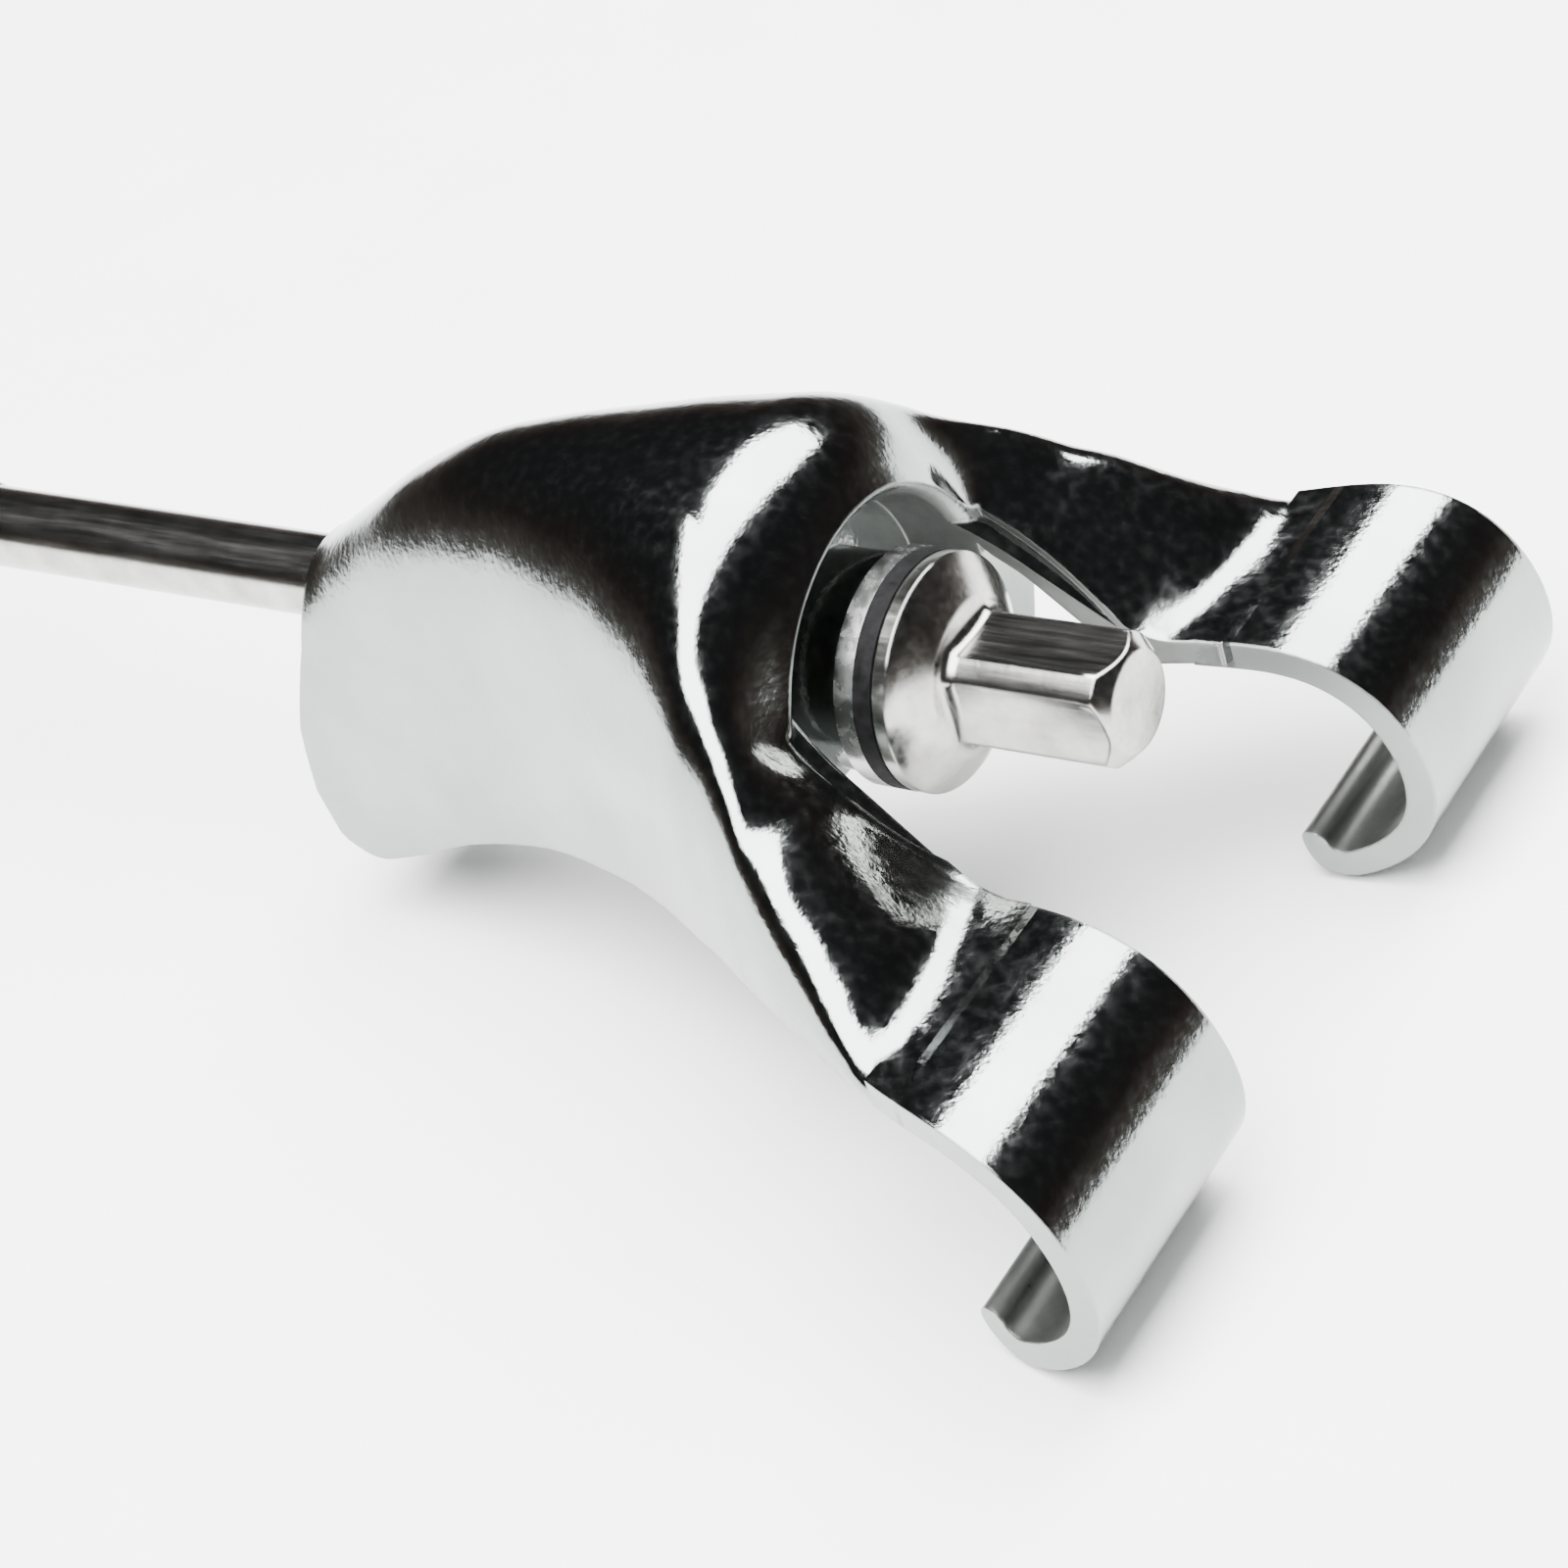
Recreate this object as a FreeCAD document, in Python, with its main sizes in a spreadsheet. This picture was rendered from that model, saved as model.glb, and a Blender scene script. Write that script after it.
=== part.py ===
import FreeCAD, Part
import math
import os

from FreeCAD import Placement, Rotation, Vector

# Drum claw hook with its key rod, black washer and steel washer.
# X runs along the rod towards the square head, Z is up, and the origin lies on
# the rod axis at the front edge of the flange rim.  All lengths are millimetres.

os.makedirs("parts", exist_ok=True)
doc = FreeCAD.newDocument("drum_claw")

# ------------------------------------------------------------ driving sizes
DIMENSIONS = [
    ("shank_dia", 5.35),
    ("thread_dia", 5.9),
    ("thread_length", 40.0),
    ("thread_point", 0.8),
    ("rod_length", 115.0),
    ("flange_dia", 13.8),
    ("flange_rim", 1.05),
    ("dome_height", 1.6),
    ("dome_top_dia", 8.8),
    ("square_across", 6.35),
    ("square_corner_dia", 7.6),
    ("head_length", 11.95),
    ("head_end_dia", 5.8),
    ("head_chamfer", 0.9),
    ("washer_dia", 13.8),
    ("steel_bore", 6.4),
    ("black_bore", 5.5),
    ("black_thick", 1.15),
    ("steel_thick", 1.25),
    ("rod_hole_dia", 6.2),
    ("boss_radius", 6.3),
    ("seat_wall_radius", 14.5),
    ("seat_back", -10.5),
    ("wall", 2.0),
    ("strip_thick", 1.8),
    ("hook_inner_y", 11.4),
    ("hook_inner_flare", 1.2),
    ("hook_outer_y", 26.4),
    ("hook_outer_flare", 3.2),
    ("tip_corner", 3.2),
    ("tip_reach", 3.1),
]

sheet = doc.addObject("Spreadsheet::Sheet", "dimensions")
for row, (alias, value) in enumerate(DIMENSIONS, start=1):
    sheet.set("A%d" % row, alias)
    sheet.set("B%d" % row, str(value))
    sheet.setAlias("B%d" % row, alias)
doc.recompute()


def size(alias):
    """Return one driving dimension from the sheet."""
    return float(sheet.get(alias))


# Rotation that turns a primitive's own Z axis onto +X.
ALONG_X = Rotation(Vector(0, 1, 0), 90)


def bind(item, **expressions):
    """Tie properties of an object to cells of the sheet."""
    for name, expression in expressions.items():
        item.setExpression(name.replace("__", "."), expression)


def cylinder(name, radius, length, start):
    """Add a cylinder along X; the arguments are sheet expressions."""
    item = doc.addObject("Part::Cylinder", name)
    item.Placement = Placement(Vector(0, 0, 0), ALONG_X)
    bind(item, Radius=radius, Height=length, Placement__Base__x=start)
    return item


def cone(name, radius_back, radius_front, length, start):
    """Add a cone along X; the arguments are sheet expressions."""
    item = doc.addObject("Part::Cone", name)
    item.Placement = Placement(Vector(0, 0, 0), ALONG_X)
    bind(item, Radius1=radius_back, Radius2=radius_front, Height=length)
    bind(item, Placement__Base__x=start)
    return item


def fuse(name, pieces):
    """Join pieces into one object."""
    item = doc.addObject("Part::MultiFuse", name)
    item.Shapes = pieces
    item.Refine = True
    return item


def cut(name, base, tool):
    """Cut a tool away from a base."""
    item = doc.addObject("Part::Cut", name)
    item.Base = base
    item.Tool = tool
    return item


def common(name, pieces):
    """Keep what all the pieces share."""
    item = doc.addObject("Part::MultiCommon", name)
    item.Shapes = pieces
    return item


# ------------------------------------------------------------------ key rod
def make_key_rod():
    """One cold-headed rod: thread, shank, flange, dome and square head."""
    sh = "dimensions."
    shank = cylinder(
        "shank",
        sh + "shank_dia / 2",
        sh + "rod_length - " + sh + "thread_length",
        "-(" + sh + "rod_length - " + sh + "thread_length)",
    )
    thread = cylinder(
        "thread",
        sh + "thread_dia / 2",
        sh + "thread_length - " + sh + "thread_point",
        "-" + sh + "rod_length + " + sh + "thread_point",
    )
    point = cone(
        "thread_point",
        sh + "thread_dia / 2 - " + sh + "thread_point",
        sh + "thread_dia / 2",
        sh + "thread_point",
        "-" + sh + "rod_length",
    )
    rim = cylinder(
        "flange_rim", sh + "flange_dia / 2", sh + "flange_rim", "-" + sh + "flange_rim"
    )
    dome = cone(
        "flange_dome",
        sh + "flange_dia / 2",
        sh + "dome_top_dia / 2",
        sh + "dome_height",
        "0 * " + sh + "dome_height",
    )
    block = doc.addObject("Part::Box", "square_block")
    bind(
        block,
        Length=sh + "head_length",
        Width=sh + "square_across",
        Height=sh + "square_across",
        Placement__Base__y="-" + sh + "square_across / 2",
        Placement__Base__z="-" + sh + "square_across / 2",
    )
    corners = fuse(
        "square_corners",
        [
            cylinder(
                "corner_round",
                sh + "square_corner_dia / 2",
                sh + "head_length - " + sh + "head_chamfer",
                "0 * " + sh + "head_length",
            ),
            cone(
                "corner_chamfer",
                sh + "square_corner_dia / 2",
                sh + "head_end_dia / 2",
                sh + "head_chamfer",
                sh + "head_length - " + sh + "head_chamfer",
            ),
        ],
    )
    square = common("square_head", [block, corners])
    rod = fuse("key_rod", [shank, thread, point, rim, dome, square])
    rod.Label = "key_rod"
    return rod


# ------------------------------------------------------------------ washers
def make_washer(label, bore, thick, front):
    """A plain ring round the rod whose front face stands at the given X."""
    sh = "dimensions."
    start = front + " - " + sh + thick
    disc = cylinder(label + "_disc", sh + "washer_dia / 2", sh + thick, start)
    hole = cylinder(label + "_hole", sh + bore + " / 2", sh + thick, start)
    ring = cut(label, disc, hole)
    ring.Label = label
    return ring


# --------------------------------------------------------------------- claw
# Stations of the hood: X, half width, crown height, rim height, roundness of
# the arch (2 is an ellipse, more is squarer), depth of the dip that sinks the
# middle of the arch towards the recess, and the |Y| where the dip starts to
# fade and where it has gone.
STATIONS = [
    (-49.5, 5.8, 2.0, -14.0, 2.4, 0.0, 11.0, 16.0),
    (-47.0, 6.3, 2.6, -16.6, 2.4, 0.0, 11.0, 16.0),
    (-44.5, 6.6, 3.6, -17.4, 2.4, 0.0, 11.0, 16.0),
    (-41.0, 6.8, 5.8, -16.4, 2.4, 0.0, 11.0, 16.0),
    (-35.0, 7.3, 9.7, -13.8, 2.4, 0.0, 11.0, 16.0),
    (-28.0, 8.4, 12.8, -11.6, 2.3, 0.0, 11.0, 16.0),
    (-20.0, 11.2, 14.4, -9.6, 2.2, 0.0, 11.0, 16.0),
    (-14.0, 14.2, 15.0, -8.0, 2.15, 0.0, 11.0, 16.0),
    (-10.5, 16.2, 14.9, -7.4, 2.15, 0.0, 10.4, 16.0),
    (-8.0, 17.6, 14.3, -7.1, 2.2, 0.5, 10.4, 16.0),
    (-6.5, 18.4, 13.6, -7.0, 2.2, 1.6, 10.4, 16.0),
    (-5.2, 19.2, 12.6, -6.9, 2.25, 3.3, 10.4, 16.5),
    (-4.2, 19.8, 11.3, -6.9, 2.35, 5.3, 10.0, 17.0),
    (-2.9, 20.5, 9.8, -6.9, 2.5, 6.3, 9.5, 18.5),
    (-1.0, 21.6, 8.0, -6.8, 2.6, 6.4, 9.5, 21.0),
    (2.5, 23.4, 2.6, -6.8, 2.9, 4.8, 9.5, 21.5),
    (5.5, 25.0, -1.6, -6.8, 3.3, 3.1, 9.5, 22.0),
    (8.0, 26.1, -4.3, -6.8, 3.7, 0.9, 10.0, 25.0),
    (10.0, 26.9, -5.1, -6.8, 4.0, 0.1, 10.0, 25.0),
]
COLUMNS = range(1, 8)
ARCH_SAMPLES = 36
STATION_SAMPLES = 56
# Share of the dip that reaches the very middle of the arch, and the |Y| from
# which the whole dip applies.
DIP_IN_MIDDLE = 0.1
DIP_FULL_Y = 10.4

# Outer line of the hook strip in the XZ plane, from the valley to the tip.
HOOK_LINE = [
    (8.0, -5.2),
    (10.0, -5.2),
    (12.6, -5.3),
    (15.0, -5.8),
    (17.0, -6.75),
    (18.8, -8.25),
    (20.2, -10.3),
    (21.1, -12.8),
    (21.3, -15.3),
    (20.8, -17.5),
    (19.6, -19.4),
    (18.0, -20.8),
    (16.2, -21.8),
    (14.4, -22.2),
    (12.9, -21.6),
    (12.0, -20.3),
]

# Half gap between the legs along X, from the floor of the recess to the hooks.
GAP_LINE = [(-8.0, 9.3), (-0.2, 10.0), (5.0, 10.6), (8.5, 11.4), (40.0, 11.4)]

# Rounded mouth of the recess as X and radius, and the slanting line in X and Z
# below which the mouth no longer cuts.
MOUTH_START = (-5.6, 9.3)
MOUTH_MIDDLE = (-4.2, 9.9)
MOUTH_END = (-3.6, 11.3)
MOUTH_SLANT = [(-9.0, 7.2), (12.0, -11.1)]


def slopes(column):
    """Slope of one station column at each station, flat where it turns."""
    xs = [station[0] for station in STATIONS]
    values = [station[column] for station in STATIONS]
    spans = [(v2 - v1) / (x2 - x1) for x1, x2, v1, v2 in zip(xs, xs[1:], values, values[1:])]
    inner = []
    for before, after in zip(spans, spans[1:]):
        same_way = before * after > 0
        inner.append(2 * before * after / (before + after) if same_way else 0.0)
    return [spans[0]] + inner + [spans[-1]]


COLUMN_SLOPES = {column: slopes(column) for column in COLUMNS}


def station_at(x):
    """All seven sizes of the hood's section at any X."""
    index = 0
    while index < len(STATIONS) - 2 and STATIONS[index + 1][0] < x:
        index += 1
    left, right = STATIONS[index], STATIONS[index + 1]
    span = right[0] - left[0]
    t = (x - left[0]) / span
    sizes = []
    for column in COLUMNS:
        slope = COLUMN_SLOPES[column]
        value = (1 + 2 * t) * (1 - t) ** 2 * left[column] + t * t * (3 - 2 * t) * right[column]
        value += span * t * (1 - t) ** 2 * slope[index]
        value -= span * t * t * (1 - t) * slope[index + 1]
        sizes.append(value)
    return sizes


def dip_at(y, depth, flat, free):
    """How far the middle of the arch is sunk at a given Y."""
    fade = min(max((abs(y) - flat) / (free - flat), 0.0), 1.0)
    share = DIP_IN_MIDDLE + (1 - DIP_IN_MIDDLE) * min(abs(y) / DIP_FULL_Y, 1.0) ** 2.2
    return depth * share * (1 - fade * fade * (3 - 2 * fade))


def arch_points(x, half_width, crown, rim, roundness, depth, flat, free):
    """Evenly spaced points along one arch, from the +Y foot to the -Y foot."""
    power = 2.0 / roundness
    fine = []
    for index in range(721):
        angle = math.pi * index / 720
        across = math.cos(angle)
        y = half_width * math.copysign(abs(across) ** power, across)
        z = rim + (crown - rim) * max(math.sin(angle), 0.0) ** power
        fine.append(Vector(x, y, z))
    travelled = [0.0]
    for before, after in zip(fine, fine[1:]):
        travelled.append(travelled[-1] + before.distanceToPoint(after))
    points = []
    position = 0
    for index in range(ARCH_SAMPLES + 1):
        target = travelled[-1] * index / ARCH_SAMPLES
        while position < len(fine) - 2 and travelled[position + 1] < target:
            position += 1
        gap = travelled[position + 1] - travelled[position]
        part = (target - travelled[position]) / gap
        point = fine[position] + (fine[position + 1] - fine[position]) * part
        sunk = point.z - dip_at(point.y, depth, flat, free)
        point.z = max(sunk, min(point.z, rim + 0.2))
        points.append(point)
    return points


def skin_solid(grid):
    """Solid under a smooth skin through rows of points, closed by flat ends."""
    skin = Part.BSplineSurface()
    skin.interpolate(grid)
    top = skin.toShape()
    first_u, last_u, first_v, last_v = skin.bounds()
    feet = [skin.vIso(first_v).toShape(), skin.vIso(last_v).toShape()]
    faces = [top, Part.makeRuledSurface(feet[0], feet[1])]
    for value in (first_u, last_u):
        curve = skin.uIso(value)
        ends = (curve.value(curve.FirstParameter), curve.value(curve.LastParameter))
        chord = Part.LineSegment(ends[1], ends[0])
        faces.append(Part.Face(Part.Wire([curve.toShape(), chord.toShape()])))
    shell = Part.makeShell(faces)
    shell.sewShape()
    solid = Part.makeSolid(shell)
    if solid.Volume < 0:
        solid.reverse()
    return solid


def spread(low, high, count):
    """Evenly spaced X values between two ends."""
    return [low + (high - low) * index / count for index in range(count + 1)]


def hood_solid():
    """Outer body of the hood."""
    xs = spread(STATIONS[0][0], STATIONS[-1][0], STATION_SAMPLES)
    return skin_solid([arch_points(x, *station_at(x)) for x in xs])


def hollow_solid():
    """Space under the hood, one wall inside it and open below."""
    wall = size("wall")
    grid = []
    for x in spread(-43.0, 7.0, STATION_SAMPLES):
        half_width, crown, rim, roundness, depth, flat, free = station_at(x)
        top = max(crown - wall, rim + 0.2)
        shape = (half_width - wall, top, rim - 3.0, min(roundness, 2.6))
        grid.append(arch_points(x, *shape, depth, flat, free))
    return skin_solid(grid)


def spline_wire(points):
    """Smooth open curve through XZ points."""
    curve = Part.BSplineCurve()
    curve.interpolate([Vector(x, 0, z) for x, z in points])
    return curve


def hook_prism():
    """Curled strip of constant thickness, as wide as the whole claw."""
    thick = size("strip_thick")
    outer = spline_wire(HOOK_LINE)
    first, last = outer.FirstParameter, outer.LastParameter
    inner_points = []
    steps = 28
    for index in range(steps + 1):
        value = first + (last - first) * index / steps
        point = outer.value(value)
        along = outer.tangent(value)[0]
        inward = Vector(along.z, 0, -along.x)
        inner_points.append(point + inward * thick)
    inner = Part.BSplineCurve()
    inner.interpolate(inner_points)
    start = Part.LineSegment(inner_points[0], outer.value(first))
    tip_from = outer.value(last)
    tip_to = inner_points[-1]
    middle = (tip_from + tip_to) * 0.5 + outer.tangent(last)[0] * (thick / 2)
    tip = Part.Arc(tip_from, middle, tip_to)
    wire = Part.Wire(Part.__sortEdges__([c.toShape() for c in (outer, inner, start, tip)]))
    half = size("hook_outer_y") + size("hook_outer_flare") + 2.0
    face = Part.Face(wire)
    face.translate(Vector(0, -half, 0))
    return face.extrude(Vector(0, 2 * half, 0))


def side_outline(side):
    """Plan outline of one leg, extruded up and down; side is +1 or -1."""
    inner = size("hook_inner_y")
    outer = size("hook_outer_y")
    inner_line = ((8, inner), (14, inner + 0.5), (23, inner + size("hook_inner_flare")))
    outer_line = ((8, outer - 0.3), (14, outer + 1.8), (23, outer + size("hook_outer_flare")))
    curves = []
    for line in (inner_line, outer_line):
        curve = Part.BSplineCurve()
        curve.interpolate([Vector(x, side * y, 0) for x, y in line])
        curves.append(curve)
    for end in (0, -1):
        x, low = inner_line[end]
        high = outer_line[end][1]
        curves.append(Part.LineSegment(Vector(x, side * low, 0), Vector(x, side * high, 0)))
    face = Part.Face(Part.Wire(Part.__sortEdges__([c.toShape() for c in curves])))
    face.translate(Vector(0, 0, -30))
    return face.extrude(Vector(0, 0, 40))


def slab(x_low, x_high, y_low, y_high, z_low, z_high):
    """Plain block between two corners."""
    block = Part.makeBox(x_high - x_low, y_high - y_low, z_high - z_low)
    block.translate(Vector(x_low, y_low, z_low))
    return block


def bar(radius, x_low, x_high):
    """Round bar on the rod axis."""
    return Part.makeCylinder(radius, x_high - x_low, Vector(x_low, 0, 0), Vector(1, 0, 0))


def tip_slab(side, x_end, z_low, z_high):
    """Plan shape of a hook's free end, with its two corners rounded."""
    radius = size("tip_corner")
    y_in = size("hook_inner_y") + 0.4
    y_out = size("hook_outer_y") + size("tip_reach")
    low, high = sorted((side * y_in, side * y_out))
    body = slab(x_end + radius, 40, low - 5, high + 5, z_low, z_high)
    middle = slab(x_end - 1, x_end + radius, low + radius, high - radius, z_low, z_high)
    shapes = [middle]
    for y in (low + radius, high - radius):
        foot = Vector(x_end + radius, y, z_low)
        shapes.append(Part.makeCylinder(radius, z_high - z_low, foot))
    return body.multiFuse(shapes)


def hook_solids():
    """Both curled hooks, trimmed to their plan outline and rounded tips."""
    strip = hook_prism()
    x_end = HOOK_LINE[-1][0] - size("strip_thick")
    zone = slab(x_end - 2, 17.0, -40, 40, -30, -15.5)
    for side in (1, -1):
        zone = zone.cut(tip_slab(side, x_end, -31, -15))
    hooks = []
    for side in (1, -1):
        hooks.append(strip.common(side_outline(side)).cut(zone))
    return hooks


def pocket_solid():
    """Arched recess round the washers, open to the front and below."""
    wires = []
    for x, gap in GAP_LINE:
        left, right = Vector(x, gap, 0), Vector(x, -gap, 0)
        left_foot, right_foot = Vector(x, gap, -20), Vector(x, -gap, -20)
        edges = [
            Part.Arc(left, Vector(x, 0, gap), right).toShape(),
            Part.makeLine(right, right_foot),
            Part.makeLine(right_foot, left_foot),
            Part.makeLine(left_foot, left),
        ]
        wires.append(Part.Wire(edges))
    return Part.makeLoft(wires, True, True)


def mouth_solid():
    """Bell-shaped cutter that rolls the upper edge of the recess over."""
    start, middle, end = (Vector(x, 0, r) for x, r in (MOUTH_START, MOUTH_MIDDLE, MOUTH_END))
    far = Vector(12, 0, MOUTH_END[1])
    edges = [
        Part.Arc(start, middle, end).toShape(),
        Part.makeLine(end, far),
        Part.makeLine(far, Vector(12, 0, 0)),
        Part.makeLine(Vector(12, 0, 0), Vector(start.x, 0, 0)),
        Part.makeLine(Vector(start.x, 0, 0), start),
    ]
    bell = Part.Face(Part.Wire(edges)).revolve(Vector(0, 0, 0), Vector(1, 0, 0), 360)
    (x1, z1), (x2, z2) = MOUTH_SLANT
    corners = [(x1, z1), (x2, z2), (x2, 20), (x1, 20)]
    points = [Vector(x, -20, z) for x, z in corners]
    above = Part.Face(Part.makePolygon(points + points[:1])).extrude(Vector(0, 40, 0))
    return bell.common(above)


def rear_trim():
    """Everything behind the slanted rear face of the tail."""
    outline = [
        (-60, 20),
        (-44.6, 20),
        (-44.6, 4.0),
        (-45.6, -2.0),
        (-47.6, -8.0),
        (-48.2, -13.0),
        (-47.4, -16.2),
        (-45.0, -18.4),
        (-45.0, -30),
        (-60, -30),
    ]
    points = [Vector(x, -20, z) for x, z in outline]
    return Part.Face(Part.makePolygon(points + points[:1])).extrude(Vector(0, 40, 0))


def make_claw():
    """Single die casting: hood, seat wall, two legs and two hooks."""
    seat = -(size("flange_rim") + size("black_thick") + size("steel_thick"))
    floor = GAP_LINE[0][0]
    hood = hood_solid()
    wall_body = bar(size("seat_wall_radius"), size("seat_back"), seat)
    claw = hood.cut(hollow_solid()).fuse(hood.common(wall_body))
    claw = claw.cut(pocket_solid().fuse(mouth_solid()))
    claw = claw.multiFuse(hook_solids() + [bar(size("boss_radius"), floor - 1, seat)])
    claw = claw.cut(rear_trim())
    claw = claw.cut(bar(size("rod_hole_dia") / 2, -60, 10))
    item = doc.addObject("Part::Feature", "claw")
    item.Shape = max(claw.Solids, key=lambda solid: solid.Volume)
    item.Placement = Placement()
    item.Label = "claw"
    return item


rod = make_key_rod()
sh = "dimensions."
black = make_washer("black_washer", "black_bore", "black_thick", "-" + sh + "flange_rim")
steel_front = "-" + sh + "flange_rim - " + sh + "black_thick"
steel = make_washer("steel_washer", "steel_bore", "steel_thick", steel_front)
claw = make_claw()
doc.recompute()

for item in doc.Objects:
    if "Invalid" in item.State or "Error" in item.State:
        raise RuntimeError(item.Label + " failed")

for item in (claw, rod, steel, black):
    shape = item.Shape
    if shape.isNull() or not shape.isValid():
        raise RuntimeError(item.Label + " has no valid shape")
    if len(shape.Solids) != 1:
        raise RuntimeError(item.Label + " is not one solid")
    shape.exportStep("parts/" + item.Label + ".step")
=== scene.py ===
import math

import bpy
from mathutils import Matrix, Vector


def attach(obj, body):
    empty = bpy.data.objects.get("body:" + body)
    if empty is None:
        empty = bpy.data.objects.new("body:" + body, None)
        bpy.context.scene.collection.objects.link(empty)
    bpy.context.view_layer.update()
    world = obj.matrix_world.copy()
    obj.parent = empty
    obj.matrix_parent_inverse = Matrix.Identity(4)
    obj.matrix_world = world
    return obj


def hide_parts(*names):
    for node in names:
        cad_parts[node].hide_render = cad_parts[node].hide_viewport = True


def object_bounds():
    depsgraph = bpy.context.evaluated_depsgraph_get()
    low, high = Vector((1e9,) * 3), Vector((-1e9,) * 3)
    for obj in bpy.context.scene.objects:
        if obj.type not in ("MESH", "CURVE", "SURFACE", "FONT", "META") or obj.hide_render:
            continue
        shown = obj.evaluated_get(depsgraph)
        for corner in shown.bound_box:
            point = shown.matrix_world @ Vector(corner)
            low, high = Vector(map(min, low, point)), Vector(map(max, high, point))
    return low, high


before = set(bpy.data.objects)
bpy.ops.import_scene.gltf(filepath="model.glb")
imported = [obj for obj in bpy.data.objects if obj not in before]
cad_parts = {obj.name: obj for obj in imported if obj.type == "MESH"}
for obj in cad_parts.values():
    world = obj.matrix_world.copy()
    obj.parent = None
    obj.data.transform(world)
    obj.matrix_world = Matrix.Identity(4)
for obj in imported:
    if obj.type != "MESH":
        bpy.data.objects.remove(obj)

CAD_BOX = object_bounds()
MM = 0.001


# ------------------------------------------------------------------ node materials
def new_material(name):
    """An empty node material and its tree, principled shader and output."""
    material = bpy.data.materials.new(name)
    material.use_nodes = True
    tree = material.node_tree
    tree.nodes.clear()
    output = tree.nodes.new("ShaderNodeOutputMaterial")
    shader = tree.nodes.new("ShaderNodeBsdfPrincipled")
    tree.links.new(shader.outputs["BSDF"], output.inputs["Surface"])
    return material, tree, shader


def coordinates(tree, stretch=(1.0, 1.0, 1.0)):
    """Object coordinates, scaled along each axis."""
    source = tree.nodes.new("ShaderNodeTexCoord")
    mapping = tree.nodes.new("ShaderNodeMapping")
    mapping.inputs["Scale"].default_value = stretch
    tree.links.new(source.outputs["Object"], mapping.inputs["Vector"])
    return mapping.outputs["Vector"]


def noise(tree, vector, scale, detail=3.0, roughness=0.5):
    """Noise factor at a scale given in features per metre."""
    node = tree.nodes.new("ShaderNodeTexNoise")
    node.inputs["Scale"].default_value = scale
    node.inputs["Detail"].default_value = detail
    node.inputs["Roughness"].default_value = roughness
    tree.links.new(vector, node.inputs["Vector"])
    return node.outputs["Fac"]


def remap(tree, value, low, high, to_low, to_high):
    """Map a value from one range to another."""
    node = tree.nodes.new("ShaderNodeMapRange")
    node.inputs["From Min"].default_value = low
    node.inputs["From Max"].default_value = high
    node.inputs["To Min"].default_value = to_low
    node.inputs["To Max"].default_value = to_high
    tree.links.new(value, node.inputs["Value"])
    return node.outputs["Result"]


def ramp(tree, value, stops):
    """Colour ramp through (position, rgb) stops."""
    node = tree.nodes.new("ShaderNodeValToRGB")
    elements = node.color_ramp.elements
    while len(elements) < len(stops):
        elements.new(0.5)
    for element, (position, rgb) in zip(elements, stops):
        element.position = position
        element.color = (*rgb, 1.0)
    tree.links.new(value, node.inputs["Fac"])
    return node.outputs["Color"]


def bump(tree, height, distance, strength, before=None):
    """Bump from a height value; distance in metres."""
    node = tree.nodes.new("ShaderNodeBump")
    node.inputs["Distance"].default_value = distance
    node.inputs["Strength"].default_value = strength
    tree.links.new(height, node.inputs["Height"])
    if before is not None:
        tree.links.new(before, node.inputs["Normal"])
    return node.outputs["Normal"]


def soft_edges(tree, radius):
    """Normal that rolls every sharp edge over by a small radius."""
    node = tree.nodes.new("ShaderNodeBevel")
    node.samples = 4
    node.inputs["Radius"].default_value = radius
    return node.outputs["Normal"]


def facing(tree, place, normal, centre, plane, near, far):
    """About 1 where a face looks towards a line through a centre, from near to far off it."""
    away = tree.nodes.new("ShaderNodeVectorMath")
    away.operation = "SUBTRACT"
    away.inputs[1].default_value = centre
    tree.links.new(place, away.inputs[0])
    flat = tree.nodes.new("ShaderNodeVectorMath")
    flat.operation = "MULTIPLY"
    flat.inputs[1].default_value = plane
    tree.links.new(away.outputs["Vector"], flat.inputs[0])
    dot = tree.nodes.new("ShaderNodeVectorMath")
    dot.operation = "DOT_PRODUCT"
    tree.links.new(flat.outputs["Vector"], dot.inputs[0])
    tree.links.new(normal, dot.inputs[1])
    return remap(tree, dot.outputs["Value"], near, far, 0.0, 1.0)


def multiply(tree, first, second):
    """Product of two values."""
    node = tree.nodes.new("ShaderNodeMath")
    node.operation = "MULTIPLY"
    tree.links.new(first, node.inputs[0])
    tree.links.new(second, node.inputs[1])
    return node.outputs["Value"]


# Where the claw is left unpolished and its colour is painted darker as shade, in the frame's metres.
CURL_CENTRE = (0.0145, 0.0, -0.0135)
CURL_FROM_X = (0.0085, 0.0105)
CURL_DEPTH = (-0.002, -0.004)
RECESS_CENTRE = (0.0, 0.0, 0.0)
RECESS_BACK_X = (-0.0090, -0.0085)
RECESS_FRONT_X = (0.0070, 0.0100)
RECESS_DEPTH = (-0.006, -0.0075)
ACROSS_HOOK = (1.0, 0.0, 1.0)
ACROSS_ROD = (0.0, 1.0, 1.0)


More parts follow.
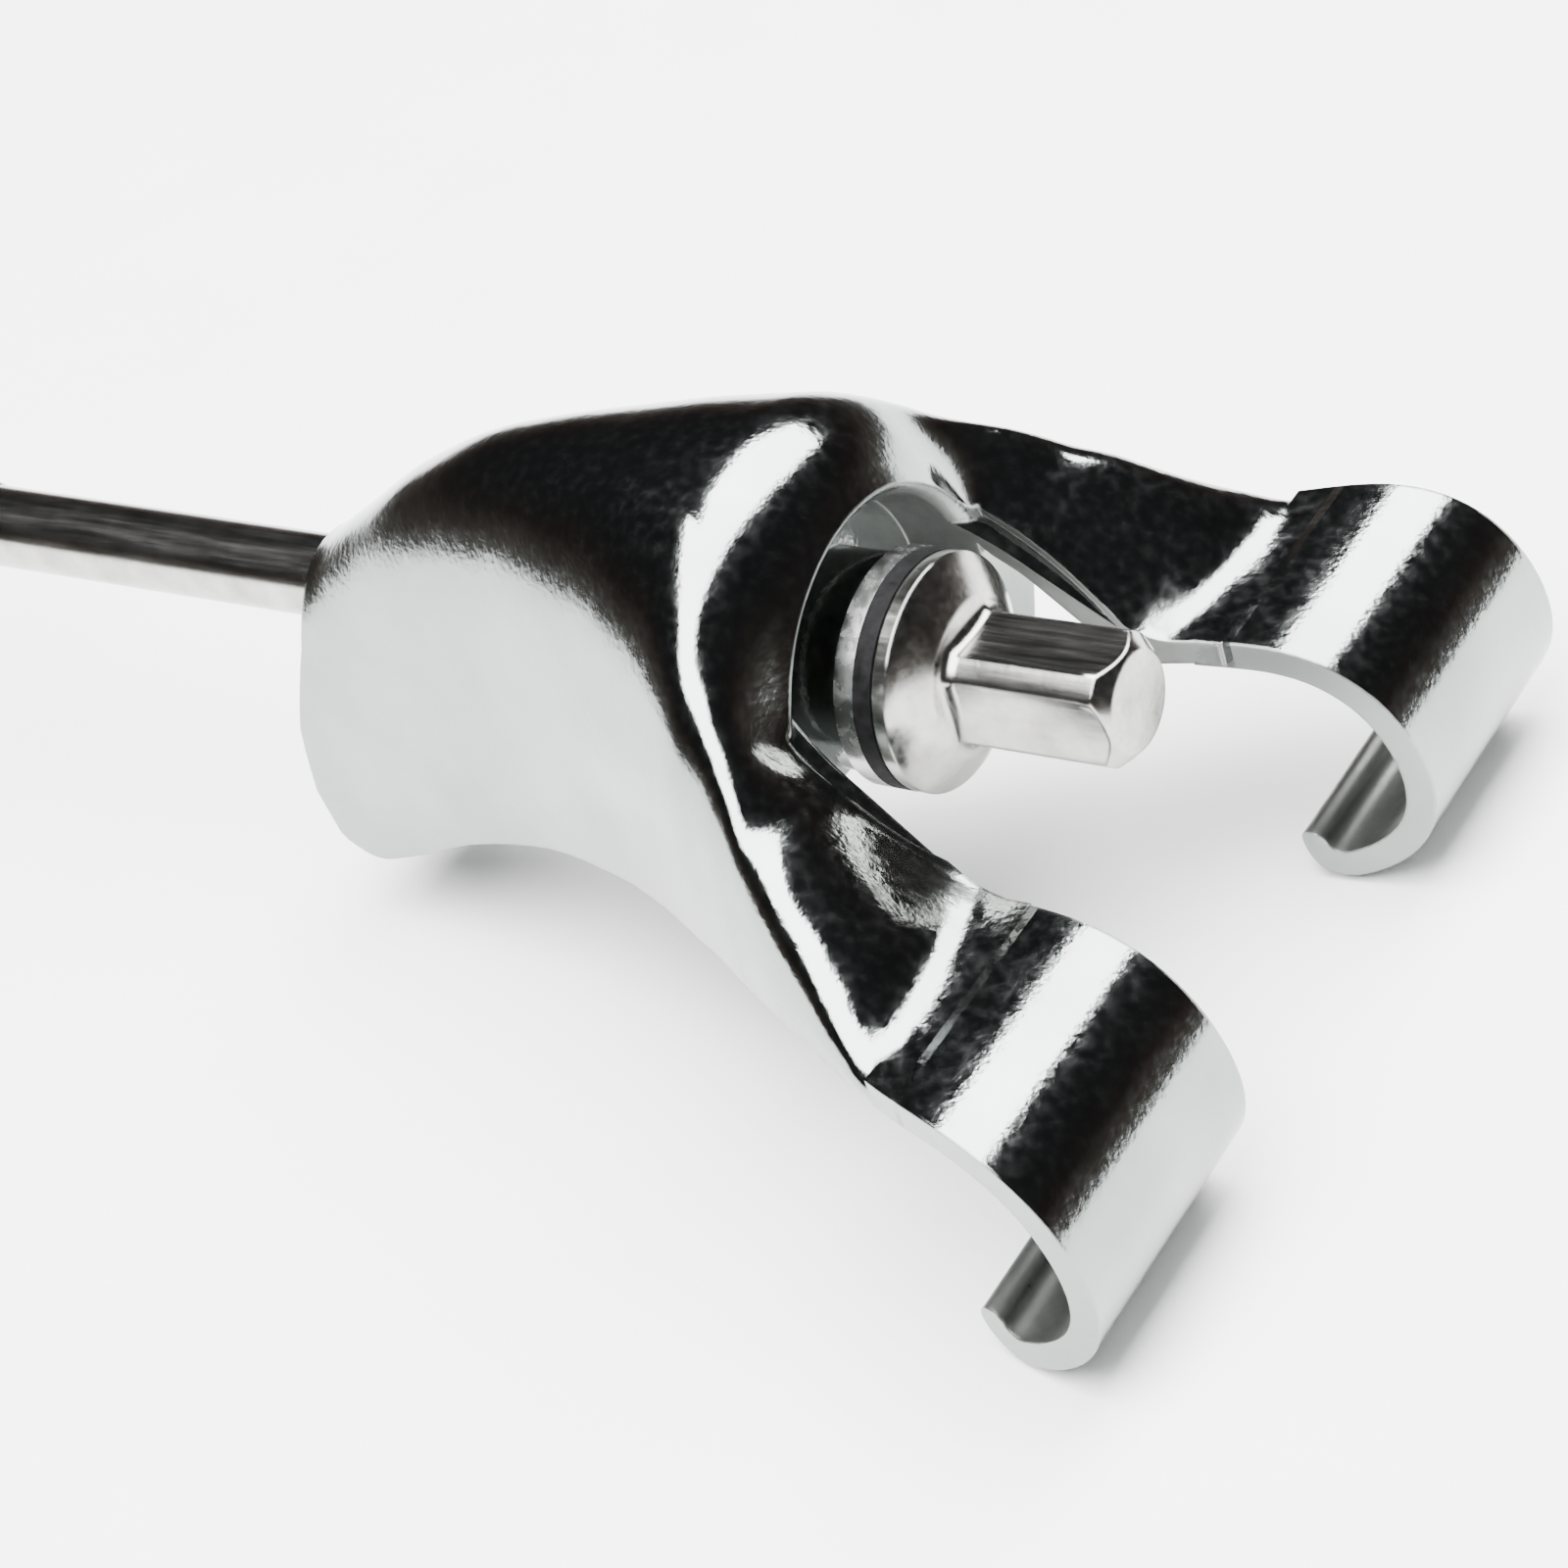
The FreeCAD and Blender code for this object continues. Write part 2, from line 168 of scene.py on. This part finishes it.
def unpolished_and_shade_share(tree, place):
    """1 on the unpolished inner faces of the hooks and of the recess, where the chrome is rougher and
    painted darker as shade, else 0.
    """
    shape = tree.nodes.new("ShaderNodeTexCoord")
    normal = shape.outputs["Normal"]
    split = tree.nodes.new("ShaderNodeSeparateXYZ")
    tree.links.new(place, split.inputs["Vector"])
    x = split.outputs["X"]
    curl = facing(tree, place, normal, CURL_CENTRE, ACROSS_HOOK, *CURL_DEPTH)
    curl = multiply(tree, curl, remap(tree, x, *CURL_FROM_X, 0.0, 1.0))
    bore = facing(tree, place, normal, RECESS_CENTRE, ACROSS_ROD, *RECESS_DEPTH)
    bore = multiply(tree, bore, remap(tree, x, *RECESS_BACK_X, 0.0, 1.0))
    bore = multiply(tree, bore, remap(tree, x, *RECESS_FRONT_X, 1.0, 0.0))
    both = tree.nodes.new("ShaderNodeMath")
    both.operation = "MAXIMUM"
    tree.links.new(curl, both.inputs[0])
    tree.links.new(bore, both.inputs[1])
    return both.outputs["Value"]


def mix_colours(tree, share, first, second):
    """Blend between two colour sockets."""
    node = tree.nodes.new("ShaderNodeMix")
    node.data_type = "RGBA"
    tree.links.new(share, node.inputs["Factor"])
    tree.links.new(first, node.inputs["A"])
    tree.links.new(second, node.inputs["B"])
    return node.outputs["Result"]


CREASE_X = (0.0101, 0.0106)
CREASE_HEIGHT = 0.00022
DULL_ROUGHNESS = 0.36


def chrome_material():
    """Chrome plate, rougher in the hooks and the recess and painted darker there as shade, with a crease
    across each hook strip.
    """
    material, tree, shader = new_material("chrome_plate")
    place = coordinates(tree)
    inside = unpolished_and_shade_share(tree, place)
    shader.inputs["Metallic"].default_value = 1.0
    cloud = noise(tree, place, 90.0, 4.0)
    bright = ramp(tree, cloud, [(0.3, (0.215, 0.229, 0.225)), (0.7, (0.290, 0.304, 0.299))])
    # Darker base colour in the hook curls and the recess: painted shade, on faces that are also left
    # unpolished.
    shade_and_dull_colour = ramp(tree, cloud, [(0.3, (0.130, 0.135, 0.130)), (0.7, (0.200, 0.206, 0.198))])
    tree.links.new(mix_colours(tree, inside, bright, shade_and_dull_colour), shader.inputs["Base Color"])
    grain = noise(tree, place, 1400.0, 3.0)
    polish = remap(tree, grain, 0.3, 0.7, 0.06, 0.16)
    rough = tree.nodes.new("ShaderNodeMath")
    rough.operation = "MULTIPLY_ADD"
    rough.inputs[1].default_value = DULL_ROUGHNESS
    tree.links.new(inside, rough.inputs[0])
    tree.links.new(polish, rough.inputs[2])
    tree.links.new(rough.outputs["Value"], shader.inputs["Roughness"])
    split = tree.nodes.new("ShaderNodeSeparateXYZ")
    tree.links.new(place, split.inputs["Vector"])
    crease = remap(tree, split.outputs["X"], *CREASE_X, 0.0, 1.0)
    normal = bump(tree, crease, CREASE_HEIGHT, 1.0, soft_edges(tree, 0.0003))
    normal = bump(tree, noise(tree, place, 160.0, 2.0), 0.0004, 0.06, normal)
    normal = bump(tree, noise(tree, place, 2600.0, 2.0), 0.00004, 0.35, normal)
    tree.links.new(normal, shader.inputs["Normal"])
    return material


def rod_material():
    """Nickel-plated steel rod with fine lengthwise drawing marks."""
    material, tree, shader = new_material("nickel_rod")
    place = coordinates(tree)
    along = coordinates(tree, (0.06, 1.0, 1.0))
    shader.inputs["Metallic"].default_value = 1.0
    streak = noise(tree, along, 2400.0, 4.0, 0.6)
    mottle = noise(tree, place, 420.0, 4.0, 0.6)
    tone = ramp(tree, mottle, [(0.28, (0.27, 0.268, 0.252)), (0.72, (0.44, 0.436, 0.415))])
    tree.links.new(tone, shader.inputs["Base Color"])
    tree.links.new(remap(tree, streak, 0.3, 0.7, 0.13, 0.24), shader.inputs["Roughness"])
    normal = bump(tree, streak, 0.00004, 0.05, soft_edges(tree, 0.0002))
    normal = bump(tree, mottle, 0.0001, 0.08, normal)
    tree.links.new(normal, shader.inputs["Normal"])
    return material


def steel_washer_material():
    """Stamped steel washer, finely mottled."""
    material, tree, shader = new_material("steel_washer")
    place = coordinates(tree)
    shader.inputs["Metallic"].default_value = 1.0
    mottle = noise(tree, place, 900.0, 3.0, 0.6)
    tone = ramp(tree, mottle, [(0.3, (0.50, 0.51, 0.50)), (0.7, (0.72, 0.73, 0.72))])
    tree.links.new(tone, shader.inputs["Base Color"])
    tree.links.new(remap(tree, mottle, 0.3, 0.7, 0.18, 0.32), shader.inputs["Roughness"])
    tree.links.new(bump(tree, mottle, 0.00008, 0.3), shader.inputs["Normal"])
    return material


def black_washer_material():
    """Matt black nylon."""
    material, tree, shader = new_material("black_nylon")
    place = coordinates(tree)
    mottle = noise(tree, place, 1500.0, 3.0, 0.6)
    tone = ramp(tree, mottle, [(0.3, (0.003, 0.003, 0.003)), (0.7, (0.009, 0.009, 0.010))])
    tree.links.new(tone, shader.inputs["Base Color"])
    shader.inputs["Specular IOR Level"].default_value = 0.08
    tree.links.new(remap(tree, mottle, 0.3, 0.7, 0.45, 0.65), shader.inputs["Roughness"])
    tree.links.new(bump(tree, mottle, 0.00008, 0.3), shader.inputs["Normal"])
    return material


def floor_material():
    """Pale matt table top."""
    material, tree, shader = new_material("pale_floor")
    place = coordinates(tree)
    speck = noise(tree, place, 60.0, 4.0)
    tone = ramp(tree, speck, [(0.3, (0.90, 0.90, 0.90)), (0.7, (0.93, 0.93, 0.93))])
    tree.links.new(tone, shader.inputs["Base Color"])
    shader.inputs["Roughness"].default_value = 0.9
    shader.inputs["Specular IOR Level"].default_value = 0.1
    return material


def paint(item, material):
    """Give every slot of an object one material."""
    if not item.material_slots:
        item.data.materials.append(material)
    for held in item.material_slots:
        held.link = "OBJECT"
        held.material = material


# ------------------------------------------------------------------------ smoothing
SHARP_ANGLE = math.radians(30)
MERGE_DISTANCE = 0.000002


def smoothing_group(name, angle):
    """Node group that joins the faces of a mesh and keeps edges sharper than an angle."""
    group = bpy.data.node_groups.new(name, "GeometryNodeTree")
    group.interface.new_socket("Geometry", in_out="INPUT", socket_type="NodeSocketGeometry")
    group.interface.new_socket("Geometry", in_out="OUTPUT", socket_type="NodeSocketGeometry")
    entry = group.nodes.new("NodeGroupInput")
    leave = group.nodes.new("NodeGroupOutput")
    merge = group.nodes.new("GeometryNodeMergeByDistance")
    merge.inputs["Distance"].default_value = MERGE_DISTANCE
    faces = group.nodes.new("GeometryNodeSetShadeSmooth")
    faces.domain = "FACE"
    edges = group.nodes.new("GeometryNodeSetShadeSmooth")
    edges.domain = "EDGE"
    edges.inputs["Shade Smooth"].default_value = False
    bend = group.nodes.new("GeometryNodeInputMeshEdgeAngle")
    over = group.nodes.new("FunctionNodeCompare")
    over.data_type = "FLOAT"
    over.operation = "GREATER_THAN"
    over.inputs["B"].default_value = angle
    links = group.links
    links.new(entry.outputs[0], merge.inputs["Geometry"])
    links.new(merge.outputs["Geometry"], faces.inputs["Geometry"])
    links.new(faces.outputs["Geometry"], edges.inputs["Geometry"])
    links.new(bend.outputs["Unsigned Angle"], over.inputs["A"])
    links.new(over.outputs["Result"], edges.inputs["Selection"])
    links.new(edges.outputs["Geometry"], leave.inputs[0])
    return group


SMOOTHING = smoothing_group("smooth_faces", SHARP_ANGLE)


def smooth(item):
    """Shade an object smoothly between its sharp edges."""
    modifier = item.modifiers.new("smooth_faces", "NODES")
    modifier.node_group = SMOOTHING


# -------------------------------------------------------------------------- key rod
# Sizes in millimetres along and about the rod's axis.
SQUARE_HALF = 3.175
CORNER_RADIUS = 3.8
HEAD_END = 11.95
HEAD_CHAMFER = 0.9
DOME_END = 1.6
DOME_TOP_RADIUS = 4.4
FOOT_LENGTH = 0.9
SHANK_RADIUS = 2.675
SHANK_RINGS = (-60.0, -45.0, -30.0, -15.0, -1.06)
FLANGE_PROFILE = (
    (-1.06, 6.75),
    (-0.93, 6.88),
    (-0.12, 6.9),
    (0.0, 6.8),
    (0.35, 6.3),
    (1.45, 4.75),
    (DOME_END, DOME_TOP_RADIUS),
)
THREAD_RADIUS = 2.95
THREAD_ROOT = 2.42
THREAD_PITCH = 1.0
THREAD_START = -75.0
THREAD_END = -115.0
THREAD_FADE = 1.5
POINT_RADIUS = 2.1
RING_POINTS = 96
RINGS_PER_MM = 8
CHAMFER_STEPS = 14


def square_radius(angle):
    """Radius of the square bar with rounded corners at an angle about the rod."""
    flat = SQUARE_HALF / max(abs(math.cos(angle)), abs(math.sin(angle)))
    return min(flat, CORNER_RADIUS)


def thread_radius(x, angle):
    """Radius on the rolled thread, which fades in and out at its two ends."""
    turn = ((x / THREAD_PITCH) - angle / (2 * math.pi)) % 1.0
    height = min(max(2.0 * abs(2.0 * turn - 1.0) - 0.45, 0.0), 1.0)
    crest = THREAD_ROOT + (THREAD_RADIUS - THREAD_ROOT) * height
    fade = min(max((THREAD_START - x) / THREAD_FADE, 0.0), 1.0)
    point = THREAD_ROOT - 0.25 + 0.75 * (x - THREAD_END)
    return min(SHANK_RADIUS + (crest - SHANK_RADIUS) * fade, max(point, POINT_RADIUS))


def head_radius(x, angle):
    """Radius on the square head, with its round foot and chamfered end."""
    square = square_radius(angle)
    foot = max(0.0, 1.0 - (x - DOME_END) / FOOT_LENGTH)
    radius = square + (DOME_TOP_RADIUS - square) * (1.0 - math.sqrt(1.0 - foot * foot))
    return min(radius, CORNER_RADIUS - (x - (HEAD_END - HEAD_CHAMFER)))


def rod_rings():
    """X of every ring with the rule that gives its radius."""
    rings = []
    for index in range(int((THREAD_START - THREAD_END) * RINGS_PER_MM) + 1):
        rings.append((THREAD_END + index / RINGS_PER_MM, thread_radius))
    for x in (THREAD_START + 0.4, *SHANK_RINGS):
        rings.append((x, lambda x, angle: SHANK_RADIUS))
    for x, radius in FLANGE_PROFILE:
        rings.append((x, lambda x, angle, radius=radius: radius))
    for index in range(1, 10):
        rings.append((DOME_END + 0.1 * index, head_radius))
    for x in (4.0, 6.0, 8.0, 10.0):
        rings.append((x, head_radius))
    for index in range(CHAMFER_STEPS + 1):
        rings.append((HEAD_END - HEAD_CHAMFER * (1.0 - index / CHAMFER_STEPS), head_radius))
    return rings


def make_rod():
    """Thread, shank, flange, dome and square head as one skin."""
    rings = rod_rings()
    vertices = []
    faces = []
    for x, rule in rings:
        for index in range(RING_POINTS):
            angle = 2 * math.pi * index / RING_POINTS
            radius = rule(x, angle)
            vertices.append((x * MM, radius * math.cos(angle) * MM, radius * math.sin(angle) * MM))
    for ring in range(len(rings) - 1):
        for index in range(RING_POINTS):
            after = (index + 1) % RING_POINTS
            low = ring * RING_POINTS
            high = low + RING_POINTS
            faces.append((low + index, low + after, high + after, high + index))
    last = (len(rings) - 1) * RING_POINTS
    faces.append(tuple(last + index for index in range(RING_POINTS)))
    faces.append(tuple(reversed(range(RING_POINTS))))
    mesh = bpy.data.meshes.new("rod_skin")
    mesh.from_pydata(vertices, [], faces)
    mesh.validate()
    skin = bpy.data.objects.new("rod_skin", mesh)
    bpy.context.scene.collection.objects.link(skin)
    smooth(skin)
    paint(skin, rod_material())
    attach(skin, "rod")
    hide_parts("key_rod")


make_rod()

for node in ("claw", "steel_washer", "black_washer"):
    smooth(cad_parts[node])
paint(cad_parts["claw"], chrome_material())
paint(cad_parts["steel_washer"], steel_washer_material())
paint(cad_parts["black_washer"], black_washer_material())


# -------------------------------------------------------------------------- studio
def turn_to(direction):
    """Rotation that points an object's -Z axis along a direction."""
    return Vector(direction).to_track_quat("-Z", "Y").to_matrix().to_4x4()


def area_light(name, place, target, width, height, power, glossy=True):
    """Soft rectangular light."""
    data = bpy.data.lights.new(name, "AREA")
    data.shape = "RECTANGLE"
    data.size = width
    data.size_y = height
    data.energy = power
    lamp = bpy.data.objects.new(name, data)
    bpy.context.scene.collection.objects.link(lamp)
    aim = Vector(target) - Vector(place)
    lamp.matrix_world = Matrix.Translation(place) @ turn_to(aim)
    lamp.visible_glossy = glossy


FLOOR_HALF = 2.5
FLOOR_GAP = 0.0005


def make_floor(height):
    """Wide pale floor just under the object."""
    half = FLOOR_HALF
    mesh = bpy.data.meshes.new("floor")
    corners = [(-half, -half, height), (half, -half, height), (half, half, height), (-half, half, height)]
    mesh.from_pydata(corners, [], [(0, 1, 2, 3)])
    floor = bpy.data.objects.new("floor", mesh)
    bpy.context.scene.collection.objects.link(floor)
    paint(floor, floor_material())


make_floor(CAD_BOX[0][2] - FLOOR_GAP)


def make_world():
    """Dark room that is a little lighter and browner near the horizon."""
    world = bpy.data.worlds.new("studio")
    world.use_nodes = True
    tree = world.node_tree
    source = tree.nodes.new("ShaderNodeTexCoord")
    split = tree.nodes.new("ShaderNodeSeparateXYZ")
    tree.links.new(source.outputs["Generated"], split.inputs["Vector"])
    stops = [
        (0.0, (0.300, 0.285, 0.270)),
        (0.10, (0.120, 0.100, 0.090)),
        (0.25, (0.045, 0.036, 0.034)),
        (0.45, (0.034, 0.034, 0.036)),
        (0.80, (0.038, 0.040, 0.043)),
        (1.0, (0.070, 0.073, 0.077)),
    ]
    colour = ramp(tree, split.outputs["Z"], stops)
    tree.links.new(colour, tree.nodes["Background"].inputs["Color"])
    bpy.context.scene.world = world


make_world()

STRIP_HEIGHT = 0.62
STRIP_X = 0.035
STRIP_Y = 0.10
WING_X = -0.265
WING_Y = -0.35

# Overhead strip along Y: it draws the white bands on the curved chrome.
area_light(
    "strip", (STRIP_X, STRIP_Y, STRIP_HEIGHT), (STRIP_X, STRIP_Y, 0.0), width=0.41, height=1.6, power=42.0
)
# Short wing beside the strip, level with it, above the near side of the tail.
area_light(
    "wing", (WING_X, WING_Y, STRIP_HEIGHT), (WING_X, WING_Y, 0.0), width=0.19, height=0.7, power=8.5
)
# Broad fill that lights the floor but leaves no mark of its own on the chrome.
area_light(
    "fill", (0.1, -0.3, 1.4), (0.0, 0.0, 0.0), width=2.4, height=2.4, power=36.0, glossy=False
)

# -------------------------------------------------------------------------- camera
VIEW_AZIMUTH = 43.1
VIEW_ELEVATION = 36.2
VIEW_ROLL = -18.8
VIEW_PLACE = (0.1142, -0.1381, 0.1274)
LENS = 90.0


def make_camera():
    """Long lens, looking down on the hooks from in front and to one side."""
    azimuth = math.radians(VIEW_AZIMUTH)
    elevation = math.radians(VIEW_ELEVATION)
    roll = math.radians(VIEW_ROLL)
    level = math.cos(elevation)
    back = Vector((math.sin(azimuth) * level, -math.cos(azimuth) * level, math.sin(elevation)))
    right = Vector((0, 0, 1)).cross(back).normalized()
    up = back.cross(right)
    turned_right = right * math.cos(roll) + up * math.sin(roll)
    turned_up = up * math.cos(roll) - right * math.sin(roll)
    axes = Matrix((turned_right, turned_up, back)).transposed().to_4x4()
    data = bpy.data.cameras.new("camera")
    data.lens = LENS
    data.sensor_width = 36.0
    data.clip_start = 0.01
    camera = bpy.data.objects.new("camera", data)
    bpy.context.scene.collection.objects.link(camera)
    camera.matrix_world = Matrix.Translation(VIEW_PLACE) @ axes
    bpy.context.scene.camera = camera


make_camera()
